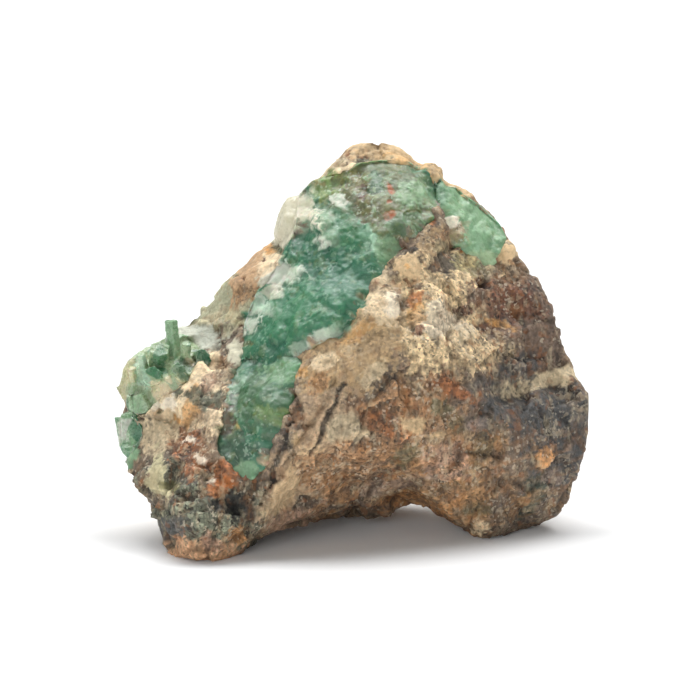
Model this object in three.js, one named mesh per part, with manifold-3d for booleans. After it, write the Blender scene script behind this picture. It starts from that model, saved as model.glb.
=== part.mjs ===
// A rough emerald in its host rock, as it was broken out of the vein: dark mica schist and tan
// quartz-feldspar, with a granular green beryl vein across the front, a green band over the right
// crest, a crust of small six-sided prisms on the left shoulder and a wedge of milky quartz.
// Millimetres, +Z up. The origin is on the surface it stands on, below the middle of its box.
//
// The stone is shaped as it is seen: u runs to the right and v upwards across a line of sight that
// looks down on it by SIGHT, and w runs along that line, away from the eye.
import * as THREE from "three";
import { ImprovedNoise } from "three/addons/math/ImprovedNoise.js";
import { mergeVertices } from "three/addons/utils/BufferGeometryUtils.js";
import Module from "manifold-3d";

const SIGHT = THREE.MathUtils.degToRad(12);
const CENTRE = new THREE.Vector2(-0.7, 16.5);
const STONE_DETAIL = 11;
const CROWDING = 0.2;
const STONE_POWER = 2.6;
const BREAK_SPACING = 7.5;
const BREAK_DEPTH = 0.8;
const SEAM = 0.34;
const ROUNDING = 1.5;
const TILT = 0.5;
const SOCKET_OPENING = 2;
const PRISM_ROOT = 0.8;

const wasm = await Module();
wasm.setup();
const perlin = new ImprovedNoise();

// A point across and along the line of sight, as a point of the stone's own frame.
function place(u, v, w) {
  const y = v * Math.sin(SIGHT) + w * Math.cos(SIGHT);
  const z = v * Math.cos(SIGHT) - w * Math.sin(SIGHT);
  return new THREE.Vector3(u, y, z);
}

// Smooth value through measured places: each row is [u, v, value]. The kernel's peak is rounded
// over ROUNDING, so that the ground between two places runs like a broken face.
function survey(rows) {
  const kernel = (du, dv) => Math.sqrt(du * du + dv * dv + ROUNDING * ROUNDING);
  const n = rows.length;
  const mean = rows.reduce((sum, row) => sum + row[2], 0) / n;
  const matrix = rows.map((a) => rows.map((b) => kernel(a[0] - b[0], a[1] - b[1])));
  const weight = rows.map((row) => row[2] - mean);
  for (let i = 0; i < n; i++) {
    let best = i;
    for (let r = i + 1; r < n; r++) if (Math.abs(matrix[r][i]) > Math.abs(matrix[best][i])) best = r;
    [matrix[i], matrix[best]] = [matrix[best], matrix[i]];
    [weight[i], weight[best]] = [weight[best], weight[i]];
    for (let r = 0; r < n; r++) {
      if (r === i) continue;
      const share = matrix[r][i] / matrix[i][i];
      for (let c = i; c < n; c++) matrix[r][c] -= share * matrix[i][c];
      weight[r] -= share * weight[i];
    }
  }
  const factor = weight.map((value, i) => value / matrix[i][i]);
  return (u, v) => rows.reduce((sum, row, i) => sum + factor[i] * kernel(u - row[0], v - row[1]), mean);
}

// The rim, where the line of sight grazes the stone: [u, v, w], clockwise from the peak.
const RIM = [
  [3.2, 43.6, 3], [6.5, 42.0, 3], [8.9, 41.0, 3], [10.4, 39.7, 3], [12.5, 37.6, 3],
  [15.0, 35.6, 3], [17.5, 31.9, 3], [18.7, 30.0, 3], [20.2, 28.2, 3], [21.4, 25.4, 2],
  [23.4, 19.6, 2], [23.9, 17.4, 2], [24.9, 16.0, 1], [25.6, 14.2, 0], [25.8, 12.0, 0],
  [25.6, 9.3, 0], [24.8, 6.2, 0], [23.4, 3.6, 0], [21.8, 1.6, 0], [18.2, 0.6, -1],
  [14.9, -0.4, -3], [11.6, 1.0, -2], [8.2, 2.8, 0], [3.4, 1.9, 0], [-0.1, 1.9, 0],
  [-3.4, 1.8, -1], [-6.2, 0.8, -3], [-9.2, 0.3, -6], [-12.6, -1.8, -12], [-16.8, -2.7, -13.4],
  [-19.9, -1.0, -11], [-22.3, 3.6, -7], [-23.9, 7.6, -4], [-24.6, 10.2, -2], [-25.0, 13.2, -1],
  [-25.0, 15.6, 0], [-24.0, 18.0, 0], [-20.0, 21.4, 1], [-17.9, 23.4, 2], [-14.0, 26.4, 3],
  [-12.4, 28.0, 3], [-10.8, 30.2, 3], [-8.4, 32.2, 3], [-7.5, 34.8, 2], [-5.5, 38.1, 2],
  [-2.9, 39.7, 2], [-0.5, 41.4, 2], [1.2, 43.0, 3],
];

// How far the front stands towards the eye, and the back away from it: [u, v, w].
const FRONT = survey([
  [-16.2, 3.0, -15.6], // nose of the left foot
  [-18.0, 7.3, -12.5], // shelf over the foot
  [-12.6, 6.6, -14.0], // rusty ground beside it
  [-11.0, 1.5, -13.6],
  [-21.8, 13.4, -7.0], // left shoulder
  [-18.5, 17.2, -7.0],
  [-16.5, 12.0, -9.5],
  [-15.0, 24.0, -1.2], // pale slope behind the shoulder
  [-16.6, 20.6, -2.5],
  [-10.7, 28.4, -3.2], // tan knob
  [-6.6, 34.2, -1.6], // milky quartz
  [-9.6, 14.6, -12.2], // lower green lobe
  [-13.0, 15.0, -9.2],
  [-9.0, 18.3, -9.4], // foot of the ledge
  [-8.6, 19.6, -10.2], // ledge of the upper green mass
  [-4.6, 23.4, -9.4],
  [-0.6, 28.6, -7.4],
  [-3.0, 33.6, -4.4],
  [5.4, 36.2, -5.2], // upper face
  [9.0, 34.0, -5.6],
  [3.2, 40.0, -2.4], // tan cap
  [-8.4, 3.0, -12.6], // foot of the long ridge
  [-5.6, 10.1, -14.2], // long ridge
  [-0.7, 19.0, -12.6],
  [3.8, 26.8, -10.4],
  [7.6, 31.0, -8.0],
  [11.0, 36.6, -3.2], // crest
  [14.2, 33.8, -1.2], // green band behind the crest
  [15.5, 30.4, -2.4],
  [10.8, 23.4, -9.6], // granular middle
  [8.8, 14.6, -12.0],
  [3.2, 6.8, -10.4],
  [3.2, 3.6, -6.2],
  [18.8, 22.3, -5.2], // dark right face
  [17.7, 9.2, -8.2],
  [21.2, 15.8, -3.6], // tan step over the right lobe
  [22.6, 11.2, -3.8],
  [14.9, 2.0, -6.0], // right foot
]);
const BACK = survey([
  [-2.2, 3.4, 12.6], // back foot
  [-10.0, 3.2, 4.0],
  [-17.0, 5.0, -2.0],
  [7.5, 4.8, 6.5], // hollow behind the arch
  [15.0, 4.5, 9.0],
  [21.0, 9.0, 8.5],
  [-20.0, 13.0, 5.0],
  [-11.0, 14.0, 12.0],
  [0.0, 14.0, 15.5],
  [11.0, 13.0, 13.0],
  [18.0, 19.0, 10.5],
  [-12.0, 23.0, 8.5],
  [0.0, 25.0, 13.0],
  [10.0, 27.0, 11.0],
  [3.0, 36.0, 8.0],
  [12.0, 35.0, 6.5],
]);

// The radius and depth of a closed line [u, v, w] in each direction from a centre.
function aroundFrom(centre, line) {
  const curve = new THREE.CatmullRomCurve3(line.map((p) => new THREE.Vector3(...p)), true, "centripetal");
  const turns = curve
    .getPoints(line.length * 12)
    .map((p) => {
      const du = p.x - centre.x;
      const dv = p.y - centre.y;
      return { angle: Math.atan2(dv, du), radius: Math.hypot(du, dv), depth: p.z };
    })
    .sort((a, b) => a.angle - b.angle);
  turns.unshift({ ...turns.at(-1), angle: turns.at(-1).angle - 2 * Math.PI });
  turns.push({ ...turns[1], angle: turns[1].angle + 2 * Math.PI });
  return (angle) => {
    const after = turns.findIndex((turn) => turn.angle >= angle);
    const a = turns[Math.max(after - 1, 0)];
    const b = turns[Math.max(after, 1)];
    const t = b.angle > a.angle ? (angle - a.angle) / (b.angle - a.angle) : 0;
    return {
      radius: THREE.MathUtils.lerp(a.radius, b.radius, t),
      depth: THREE.MathUtils.lerp(a.depth, b.depth, t),
    };
  };
}

// How far a side has risen from the rim (0) to its full height (1), at a share of the rim's radius,
// along a superellipse of the given power: 2 is round, more is boxy.
const rise = (share, power) => Math.pow(1 - Math.pow(Math.min(share, 1), power), 1 / power);

// The depth of the stone's near skin at (u, v).
const aroundStone = aroundFrom(CENTRE, RIM);
function skin(u, v) {
  const rim = aroundStone(Math.atan2(v - CENTRE.y, u - CENTRE.x));
  const share = Math.hypot(u - CENTRE.x, v - CENTRE.y) / rim.radius;
  return THREE.MathUtils.lerp(rim.depth, FRONT(u, v), rise(share, STONE_POWER));
}

// A closed lump whose rim is the line, whose near side is front(u, v) and far side back(u, v).
// Its faces crowd towards the near side, which is seen, by the share CROWDING.
function lump({ centre, line, front, back, power, detail }) {
  const around = aroundFrom(centre, line);
  const sphere = new THREE.IcosahedronGeometry(1, detail);
  sphere.deleteAttribute("normal");
  sphere.deleteAttribute("uv");
  const geometry = mergeVertices(sphere);
  const position = geometry.attributes.position;
  for (let i = 0; i < position.count; i++) {
    const d = new THREE.Vector3().fromBufferAttribute(position, i);
    d.z += CROWDING;
    d.normalize();
    const rim = around(Math.atan2(d.y, d.x));
    const u = centre.x + d.x * rim.radius;
    const v = centre.y + d.y * rim.radius;
    const side = d.z > 0 ? front(u, v) : back(u, v);
    const height = rise(Math.hypot(d.x, d.y), power);
    const p = place(u, v, THREE.MathUtils.lerp(rim.depth, side, height));
    position.setXYZ(i, p.x, p.y, p.z);
  }
  geometry.computeVertexNormals();
  return geometry;
}

// Moves every vertex along its normal by amount(point, normal).
function pushOut(geometry, amount) {
  const { position, normal } = geometry.attributes;
  for (let i = 0; i < position.count; i++) {
    const p = new THREE.Vector3().fromBufferAttribute(position, i);
    const n = new THREE.Vector3().fromBufferAttribute(normal, i);
    p.addScaledVector(n, amount(p, n));
    position.setXYZ(i, p.x, p.y, p.z);
  }
  geometry.computeVertexNormals();
  return geometry;
}

// Breaks the skin into flat faces. Each break is a plane through a point of the skin, tilted a
// little, and the skin near it goes to that plane, but never by more than BREAK_DEPTH.
function breakFaces(geometry) {
  const { position, normal } = geometry.attributes;
  const breaks = [];
  for (let i = 0; i < position.count; i++) {
    const at = new THREE.Vector3().fromBufferAttribute(position, i);
    if (breaks.some((other) => other.at.distanceTo(at) < BREAK_SPACING)) continue;
    const facing = new THREE.Vector3().fromBufferAttribute(normal, i);
    facing.x += TILT * perlin.noise(at.x * 0.9, at.y * 0.9, at.z * 0.9);
    facing.y += TILT * perlin.noise(at.x * 0.9 + 31, at.y * 0.9, at.z * 0.9);
    facing.z += TILT * perlin.noise(at.x * 0.9, at.y * 0.9 + 57, at.z * 0.9);
    breaks.push({ at, facing: facing.normalize() });
  }
  return pushOut(geometry, (p, n) => {
    const nearest = breaks.reduce((a, b) => (b.at.distanceToSquared(p) < a.at.distanceToSquared(p) ? b : a));
    const gap = nearest.at.clone().sub(p).dot(nearest.facing) / Math.max(n.dot(nearest.facing), 0.5);
    return THREE.MathUtils.clamp(gap, -BREAK_DEPTH, BREAK_DEPTH);
  });
}

// Lumps and chips of a broken surface.
function roughness(p) {
  const lumps = 0.5 * perlin.noise(p.x / 6.5, p.y / 6.5, p.z / 6.5);
  const chips = 0.45 * perlin.noise(p.x / 2.9 + 9, p.y / 2.9, p.z / 2.9);
  return lumps + chips;
}

function solid(geometry) {
  const bare = geometry.clone();
  bare.deleteAttribute("normal");
  bare.deleteAttribute("uv");
  const merged = mergeVertices(bare);
  return new wasm.Manifold(
    new wasm.Mesh({
      numProp: 3,
      vertProperties: new Float32Array(merged.attributes.position.array),
      triVerts: new Uint32Array(merged.index.array),
    }),
  );
}

function geometryOf(manifold) {
  const { vertProperties, triVerts } = manifold.getMesh();
  const geometry = new THREE.BufferGeometry();
  geometry.setAttribute("position", new THREE.BufferAttribute(vertProperties, 3));
  geometry.setIndex(new THREE.BufferAttribute(triVerts, 1));
  geometry.computeVertexNormals();
  return geometry;
}

// A mass that grew in the front of the stone, inside an outline of [u, v] points. Its rim is sunk
// below the skin, its face stands proud of it, and it is rooted some way down. Its socket is the
// same form grown by the seam all round, and open to the front, so that no rock covers the mass.
function growth(outline, { proud, sunk, root, detail, power = 2.4 }, isSocket = false) {
  const line = outline.map(([u, v]) => [u, v, skin(u, v) + sunk]);
  const centre = new THREE.Vector2();
  for (const [u, v] of outline) centre.add(new THREE.Vector2(u, v).divideScalar(outline.length));
  const opening = isSocket ? SOCKET_OPENING : 0;
  const front = (u, v) => skin(u, v) - proud - opening;
  const back = (u, v) => skin(u, v) + root;
  const geometry = lump({ centre, line, front, back, power, detail });
  pushOut(geometry, (p) => 0.5 * roughness(p));
  return solid(pushOut(geometry, () => (isSocket ? SEAM : 0)));
}

// A six-sided prism with a flat end: its foot is rooted at (u, v) below the skin and it leans along
// [right, up, out], out being towards the eye.
function prism({ at: [u, v], radius, length, lean }, isSocket = false) {
  const swell = isSocket ? SEAM : 0;
  const whole = length + PRISM_ROOT + 2 * swell;
  const geometry = new THREE.CylinderGeometry(0.92 * radius + swell, radius + swell, whole, 6);
  const foot = place(u, v, skin(u, v));
  const axis = place(lean[0], lean[1], -lean[2]).normalize();
  geometry.translate(0, whole / 2 - PRISM_ROOT - swell, 0);
  geometry.applyQuaternion(new THREE.Quaternion().setFromUnitVectors(new THREE.Vector3(0, 1, 0), axis));
  geometry.translate(foot.x, foot.y, foot.z);
  return solid(geometry);
}

const join = (solids) => solids.reduce((whole, next) => whole.add(next));

// The green vein: a broad mass with a ledge at its foot, a swelling on it, a mottled plate above
// with two pale blocks beside it, and a rounded lobe below the ledge.
const VEIN = [
  {
    outline: [
      [-4.9, 37.8], [-3.3, 38.8], [0.1, 40.1], [3.8, 40.6], [7.1, 39.9], [9.0, 38.0], [8.6, 34.8],
      [5.2, 31.9], [3.2, 28.3], [-0.7, 23.2], [-5.7, 19.8], [-10.3, 18.3], [-12.3, 20.7],
      [-11.0, 23.4], [-9.4, 27.4], [-7.0, 30.5], [-5.2, 34.5],
    ],
    form: { proud: 0.7, sunk: 0.9, root: 5, detail: 4 },
  },
  {
    outline: [
      [-12.3, 18.2], [-9.9, 19.0], [-5.6, 19.5], [-6.6, 15.4], [-7.9, 11.8], [-10.0, 6.8],
      [-11.8, 6.3], [-14.1, 9.2], [-13.4, 14.6],
    ],
    form: { proud: 0.7, sunk: 0.9, root: 4, detail: 3 },
  },
  {
    outline: [
      [-5.3, 27.7], [-3.7, 29.2], [0.1, 29.0], [2.1, 26.7], [0.1, 23.7], [-2.3, 21.8],
      [-5.9, 20.9], [-7.7, 23.0],
    ],
    form: { proud: 1.6, sunk: 0.6, root: 3, detail: 2 },
  },
  {
    outline: [
      [-0.7, 39.0], [3.8, 40.6], [7.1, 40.0], [9.2, 38.0], [8.8, 34.8], [6.6, 32.8], [2.6, 30.9],
      [1.0, 33.7], [-1.4, 36.8],
    ],
    form: { proud: 1.5, sunk: 0.6, root: 3, detail: 2 },
  },
  {
    outline: [[-5.0, 34.7], [-3.7, 35.7], [-1.9, 35.0], [-1.6, 33.9], [-2.9, 32.8], [-4.3, 33.2]],
    form: { proud: 1.4, sunk: 0.4, root: 2, detail: 0, power: 4 },
  },
  {
    outline: [[-4.1, 32.6], [-2.1, 33.6], [-1.1, 33.0], [-1.7, 31.7], [-3.2, 31.2]],
    form: { proud: 1.3, sunk: 0.4, root: 2, detail: 0, power: 4 },
  },
];

// The green band beyond the right crest, which makes the edge of the stone there.
const CREST = [
  {
    outline: [
      [10.4, 38.8], [12.3, 37.0], [14.8, 35.1], [16.6, 32.7], [16.0, 30.9], [14.2, 29.6],
      [11.6, 32.4], [10.2, 35.2], [9.5, 37.4], [9.7, 38.5],
    ],
    form: { proud: 0.6, sunk: 0.5, root: 3, detail: 3 },
  },
];

// The milky quartz on the upper left edge.
const QUARTZ = [
  {
    outline: [
      [-6.2, 38.0], [-7.3, 36.4], [-8.2, 34.6], [-8.7, 32.8], [-8.5, 31.9], [-7.7, 31.7],
      [-7.2, 33.2], [-6.6, 35.2], [-6.1, 36.9],
    ],
    form: { proud: 0.6, sunk: 0.8, root: 3, detail: 2 },
  },
];

// The crust of the left shoulder, and the prisms on it.
const CRUST = [
  {
    outline: [
      [-24.4, 15.4], [-24.6, 17.7], [-23.4, 19.9], [-20.3, 21.8], [-17.9, 21.0], [-16.1, 20.1],
      [-17.0, 18.2], [-19.9, 15.9], [-21.6, 14.6], [-22.4, 12.9], [-23.6, 13.2],
    ],
    form: { proud: 0.8, sunk: 0.8, root: 2.5, detail: 1 },
  },
  {
    outline: [
      [-25.4, 15.6], [-25.5, 17.6], [-24.4, 19.3], [-22.7, 20.6], [-20.8, 20.9], [-21.0, 18.4],
      [-22.3, 16.4], [-23.9, 14.9],
    ],
    form: { proud: 0.5, sunk: 0.5, root: 2.5, detail: 1, power: 4 },
  },
];
const CRUST_PRISMS = [
  { at: [-19.5, 19.4], radius: 0.85, length: 4.0, lean: [-0.1, 1, 0.1] },
  { at: [-18.4, 18.9], radius: 0.65, length: 2.2, lean: [0.15, 1, 0.5] },
  { at: [-21.2, 18.8], radius: 1.3, length: 2.2, lean: [0.05, 0.8, 0.9] },
  { at: [-21.6, 16.9], radius: 1.3, length: 1.6, lean: [-0.2, 0.2, 1] },
  { at: [-19.4, 17.6], radius: 0.9, length: 1.6, lean: [0.3, 0.3, 1] },
  { at: [-16.9, 19.4], radius: 0.75, length: 1.3, lean: [0.4, 0.2, 1] },
  { at: [-22.7, 17.2], radius: 0.55, length: 2.9, lean: [-0.2, 1, 0.6] },
  { at: [-23.9, 16.2], radius: 0.5, length: 2.3, lean: [-0.2, 1, 0.7] },
  { at: [-22.8, 14.6], radius: 0.9, length: 1.5, lean: [-0.5, -0.1, 1] },
  { at: [-23.6, 14.3], radius: 0.6, length: 1.4, lean: [-0.7, -0.2, 0.8] },
];

// Two stout crystals side by side on the left edge, with a short one under them, on one root.
const EDGE_ROOT = { at: [-24.0, -0.7, 10.7], size: [1.1, 2.0, 2.3] };
const EDGE_PRISMS = [
  { at: [-24.5, 10.0], radius: 0.95, length: 3.0, lean: [-0.06, 1, 0.1] },
  { at: [-25.2, 10.2], radius: 0.7, length: 2.5, lean: [-0.16, 1, 0] },
  { at: [-24.1, 9.2], radius: 0.75, length: 1.2, lean: [-1, -0.3, 0.2] },
];

// What the host rock carries on its front, all grown into it.
const ROCK_FORMS = [
  {
    // lip on the right of the cap
    outline: [
      [7.2, 41.3], [8.9, 41.5], [10.3, 40.9], [10.9, 39.9], [10.6, 38.7], [9.2, 39.1], [7.6, 40.2],
    ],
    form: { proud: 0.4, sunk: 0.4, root: 3, detail: 0 },
  },
  {
    // tan knob on the left slope
    outline: [
      [-12.6, 28.4], [-11.4, 30.4], [-9.8, 31.8], [-8.5, 32.0], [-8.9, 29.9], [-9.9, 27.0],
      [-11.2, 24.3], [-12.4, 23.4], [-13.1, 26.4],
    ],
    form: { proud: 0.8, sunk: 1.2, root: 4, detail: 1 },
  },
  {
    // angular tan knob under the crest
    outline: [
      [4.3, 30.2], [5.6, 31.4], [7.6, 32.3], [8.6, 30.7], [7.4, 28.8], [5.9, 28.1], [4.6, 29.0],
    ],
    form: { proud: 1.2, sunk: 0.5, root: 2, detail: 1, power: 4 },
  },
  {
    // cream ridge along the vein
    outline: [
      [-0.5, 22.1], [1.2, 24.1], [3.3, 26.8], [4.6, 27.3], [5.7, 25.9], [4.9, 22.9], [3.2, 20.7],
      [1.2, 19.9], [-0.7, 20.5],
    ],
    form: { proud: 0.8, sunk: 0.6, root: 2, detail: 2 },
  },
  {
    // long plate beside the crack
    outline: [
      [-1.0, 16.4], [-0.2, 14.6], [-2.3, 10.1], [-5.7, 5.7], [-8.4, 1.4], [-9.8, 0.9],
      [-9.5, 3.6], [-6.5, 7.9], [-3.7, 11.8],
    ],
    form: { proud: 0.9, sunk: 0.5, root: 2.5, detail: 2, power: 3.5 },
  },
  {
    // dark lobe on the right
    outline: [
      [17.1, 14.4], [19.9, 15.1], [23.0, 15.8], [25.2, 14.4], [25.6, 11.2], [24.7, 6.8],
      [23.0, 3.6], [21.4, 2.1], [19.3, 2.1], [17.7, 4.6], [16.6, 8.4], [16.3, 11.8],
    ],
    form: { proud: 1.1, sunk: 0.8, root: 5, detail: 3, power: 3.2 },
  },
  {
    // pale feldspar on the left edge
    outline: [
      [-25.6, 16.8], [-25.0, 17.7], [-24.2, 17.0], [-24.2, 15.4], [-24.6, 14.1], [-25.4, 14.4],
      [-25.8, 15.7],
    ],
    form: { proud: 0.6, sunk: 0.6, root: 2, detail: 1 },
  },
  {
    // cream quartz blob between vein and shoulder
    outline: [[-14.0, 20.1], [-13.0, 20.9], [-12.4, 19.6], [-12.7, 18.2], [-13.8, 18.6]],
    form: { proud: 0.7, sunk: 0.4, root: 1.5, detail: 0 },
  },
];

// Rounded knobs of the rock: [x, y, z] of the middle, and the half sizes. The ground cuts the
// three feet flat.
const KNOBS = [
  { at: [-16.2, -10.2, 4.4], size: [5.0, 5.2, 4.9] }, // left foot
  { at: [15.0, -2.6, 1.8], size: [2.6, 2.4, 2.3] }, // right foot
  { at: [-1.8, 10.4, 6.4], size: [6.6, 4.6, 6.8] }, // back foot
  { at: [5.2, 9.6, 9.2], size: [7.5, 5.6, 6.6] }, // swelling beside it
  { at: [17.4, 7.6, 30.0], size: [1.4, 1.8, 1.5] }, // tan knob on the right edge
];

// Flat cleavage faces that the stone broke along, at the back and below: each goes through a point
// and faces a way, as [x, y, z].
const CLEAVAGE = [
  { through: [0, 16.4, 14], facing: [0.1, 1, 0.12] },
  { through: [3, 14.2, 33], facing: [0.1, 0.95, 0.25] },
  { through: [-9.6, 12.8, 24], facing: [-0.5, 0.85, 0.2] },
  { through: [-17.5, 9.6, 12], facing: [-0.5, 0.86, 0.1] },
  { through: [14, 13.8, 27], facing: [0.6, 0.8, 0.1] },
  { through: [20, 10.8, 16], facing: [0.75, 0.66, 0.12] },
  { through: [17, 9.4, 5], facing: [0.3, 0.6, -0.75] },
  { through: [-12, 4.4, 4], facing: [-0.25, 0.55, -0.8] },
];

// Cracks and grooves: [u, v] along each, with how wide and deep it is cut.
const GROOVES = [
  { line: [[-1.2, 17.0], [-3.8, 12.7], [-6.9, 8.6], [-9.2, 4.0]], wide: 0.6, deep: 1.3 },
];

function knob({ at, size }, isSocket = false) {
  const sphere = new THREE.IcosahedronGeometry(1, 1);
  sphere.deleteAttribute("normal");
  sphere.deleteAttribute("uv");
  const rounded = mergeVertices(sphere);
  rounded.scale(...size);
  rounded.translate(...at);
  rounded.computeVertexNormals();
  pushOut(rounded, roughness);
  return solid(pushOut(rounded, () => (isSocket ? SEAM : 0)));
}

// Everything beyond a cleavage face.
function beyond({ through, facing }) {
  const waste = new THREE.BoxGeometry(120, 120, 40);
  waste.translate(0, 0, 20);
  const turn = new THREE.Quaternion().setFromUnitVectors(
    new THREE.Vector3(0, 0, 1),
    new THREE.Vector3(...facing).normalize(),
  );
  waste.applyQuaternion(turn);
  waste.translate(...through);
  return solid(waste);
}

// A wedge pressed into the skin along one stretch of a groove.
function wedge([u0, v0], [u1, v1], wide, deep) {
  const stretch = Math.hypot(u1 - u0, v1 - v0);
  const section = new THREE.Shape([
    new THREE.Vector2(0, deep),
    new THREE.Vector2(-wide, -1.5 * deep),
    new THREE.Vector2(wide, -1.5 * deep),
  ]);
  const geometry = new THREE.ExtrudeGeometry(section, { depth: stretch + wide, bevelEnabled: false });
  geometry.translate(0, 0, -wide / 2);
  const from = place(u0, v0, skin(u0, v0));
  const to = place(u1, v1, skin(u1, v1));
  const along = to.clone().sub(from).normalize();
  const inward = place(0, 0, 1);
  inward.addScaledVector(along, -inward.dot(along)).normalize();
  const across = new THREE.Vector3().crossVectors(inward, along);
  geometry.applyMatrix4(new THREE.Matrix4().makeBasis(across, inward, along).setPosition(from));
  return solid(geometry);
}

const grown = (forms, isSocket) => forms.map(({ outline, form }) => growth(outline, form, isSocket));
const prisms = (list, isSocket) => list.map((one) => prism(one, isSocket));

const stoneGeometry = lump({
  centre: CENTRE,
  line: RIM,
  front: FRONT,
  back: BACK,
  power: STONE_POWER,
  detail: STONE_DETAIL,
});
const skinned = pushOut(breakFaces(stoneGeometry), roughness);
const ground = new THREE.BoxGeometry(120, 120, 20);
ground.translate(0, 0, -10);

const sockets = [
  ...[VEIN, CREST, QUARTZ, CRUST].flatMap((forms) => grown(forms, true)),
  knob(EDGE_ROOT, true),
  ...[CRUST_PRISMS, EDGE_PRISMS].flatMap((list) => prisms(list, true)),
];
const grooves = GROOVES.flatMap(({ line, wide, deep }) =>
  line.slice(1).map((end, i) => wedge(line[i], end, wide, deep)),
);
// Crumbs that the cuts leave loose fall away, and the one big body stays.
const whole = (manifold) => manifold.decompose().sort((a, b) => b.volume() - a.volume())[0];
const rock = join([solid(skinned).subtract(join(CLEAVAGE.map(beyond))), ...KNOBS.map((one) => knob(one))])
  .add(join(grown(ROCK_FORMS)))
  .subtract(join(grooves))
  .subtract(join(sockets))
  .subtract(solid(ground));

const BERYL = { roughness: 0.4, metalness: 0, flatShading: true };
const finish = {
  hostRock: new THREE.MeshStandardMaterial({ color: 0x8a7560, roughness: 0.85, flatShading: true }),
  emerald: new THREE.MeshStandardMaterial({ color: 0x3f8f6c, ...BERYL }),
  paleEmerald: new THREE.MeshStandardMaterial({ color: 0x6fae88, ...BERYL }),
  quartz: new THREE.MeshStandardMaterial({ color: 0xd9d5c4, roughness: 0.45, flatShading: true }),
};

const specimen = new THREE.Group();
specimen.name = "rough_emerald";
function add(name, manifold, material) {
  const mesh = new THREE.Mesh(geometryOf(manifold), material);
  mesh.name = name;
  specimen.add(mesh);
}
add("host_rock", whole(rock), finish.hostRock);
add("emerald_vein", join(grown(VEIN)), finish.emerald);
add("emerald_crest", join(grown(CREST)), finish.paleEmerald);
add("emerald_crystals", join([...grown(CRUST), ...prisms(CRUST_PRISMS)]), finish.paleEmerald);
add("emerald_edge_crystals", join([knob(EDGE_ROOT), ...prisms(EDGE_PRISMS)]), finish.emerald);
add("quartz_wedge", join(grown(QUARTZ)), finish.quartz);

// The origin goes below the middle of the whole stone.
const middle = new THREE.Box3().setFromObject(specimen, true).getCenter(new THREE.Vector3());
for (const mesh of specimen.children) mesh.position.set(-middle.x, -middle.y, 0);

export default specimen;
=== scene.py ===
import math

import bmesh
import bpy
import numpy as np
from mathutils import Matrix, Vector, noise
from mathutils.bvhtree import BVHTree


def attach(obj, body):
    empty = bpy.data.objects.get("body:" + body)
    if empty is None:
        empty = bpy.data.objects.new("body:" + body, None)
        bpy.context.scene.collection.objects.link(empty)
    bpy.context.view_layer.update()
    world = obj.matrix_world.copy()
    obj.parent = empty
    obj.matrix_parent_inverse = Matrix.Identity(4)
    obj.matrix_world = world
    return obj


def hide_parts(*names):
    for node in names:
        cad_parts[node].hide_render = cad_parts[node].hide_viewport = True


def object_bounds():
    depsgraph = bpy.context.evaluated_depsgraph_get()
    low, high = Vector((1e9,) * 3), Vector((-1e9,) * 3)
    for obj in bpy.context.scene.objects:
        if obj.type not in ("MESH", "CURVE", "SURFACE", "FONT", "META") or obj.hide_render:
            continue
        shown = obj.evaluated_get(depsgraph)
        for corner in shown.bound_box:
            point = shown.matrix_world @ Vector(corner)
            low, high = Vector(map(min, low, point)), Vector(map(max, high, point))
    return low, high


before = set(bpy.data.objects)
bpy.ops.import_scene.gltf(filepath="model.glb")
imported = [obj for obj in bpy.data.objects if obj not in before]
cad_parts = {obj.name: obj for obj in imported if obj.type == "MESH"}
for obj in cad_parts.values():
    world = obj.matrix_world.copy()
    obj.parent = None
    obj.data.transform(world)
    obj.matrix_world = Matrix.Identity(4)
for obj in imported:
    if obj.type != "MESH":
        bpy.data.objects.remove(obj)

cad_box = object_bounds()


# The table and the light
# The stone stands on a matt white card under a row of three soft lights, with a weak one in
# front. The camera is 60 cm away, has a long lens and looks down by 12 degrees.
SIGHT = math.radians(12)
MIDDLE = (-0.11, -0.87)  # the point below the stone that the views are measured from, in mm
LENS_DISTANCE = 0.6
PICTURE_WIDTH = 0.0778  # metres across the picture at the stone
PICTURE_MIDDLE = (-0.0001, 0.0201)  # right of and above MIDDLE, across the line of sight
SENSOR_WIDTH = 36.0  # mm
SKY_COLOUR = (0.93, 0.97, 1, 1)  # what comes from all around the stone, a little blue
SKY_STRENGTH = 0.15
CARD_REACH = 3.0  # metres from the middle of the card to its sides

back_to_eye = Vector((0.0, -math.cos(SIGHT), math.sin(SIGHT)))
up_in_view = Vector((0.0, math.sin(SIGHT), math.cos(SIGHT)))
aim = Vector((MIDDLE[0] / 1000 + PICTURE_MIDDLE[0], MIDDLE[1] / 1000, 0.0)) + up_in_view * PICTURE_MIDDLE[1]
camera_data = bpy.data.cameras.new("camera")
camera_data.sensor_width = SENSOR_WIDTH
camera_data.lens = SENSOR_WIDTH * LENS_DISTANCE / PICTURE_WIDTH
camera_data.clip_start = 0.01
camera = bpy.data.objects.new("camera", camera_data)
camera.location = aim + back_to_eye * LENS_DISTANCE
camera.rotation_euler = (-back_to_eye).to_track_quat("-Z", "Y").to_euler()
bpy.context.scene.collection.objects.link(camera)
bpy.context.scene.camera = camera

bpy.context.scene.view_settings.view_transform = "Standard"
bpy.context.scene.view_settings.look = "None"


def linear(code):
    """An sRGB hex colour as linear red, green, blue."""
    parts = [int(code[i : i + 2], 16) / 255 for i in (0, 2, 4)]
    return [c / 12.92 if c <= 0.04045 else ((c + 0.055) / 1.055) ** 2.4 for c in parts]


def add(tree, kind, sockets=(), **settings):
    """A node with its settings, and its input sockets linked or set by name or number."""
    made = tree.nodes.new(kind)
    for key, value in settings.items():
        setattr(made, key, value)
    for key, value in dict(sockets).items():
        if isinstance(value, bpy.types.NodeSocket):
            tree.links.new(value, made.inputs[key])
        else:
            made.inputs[key].default_value = value
    return made


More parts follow.
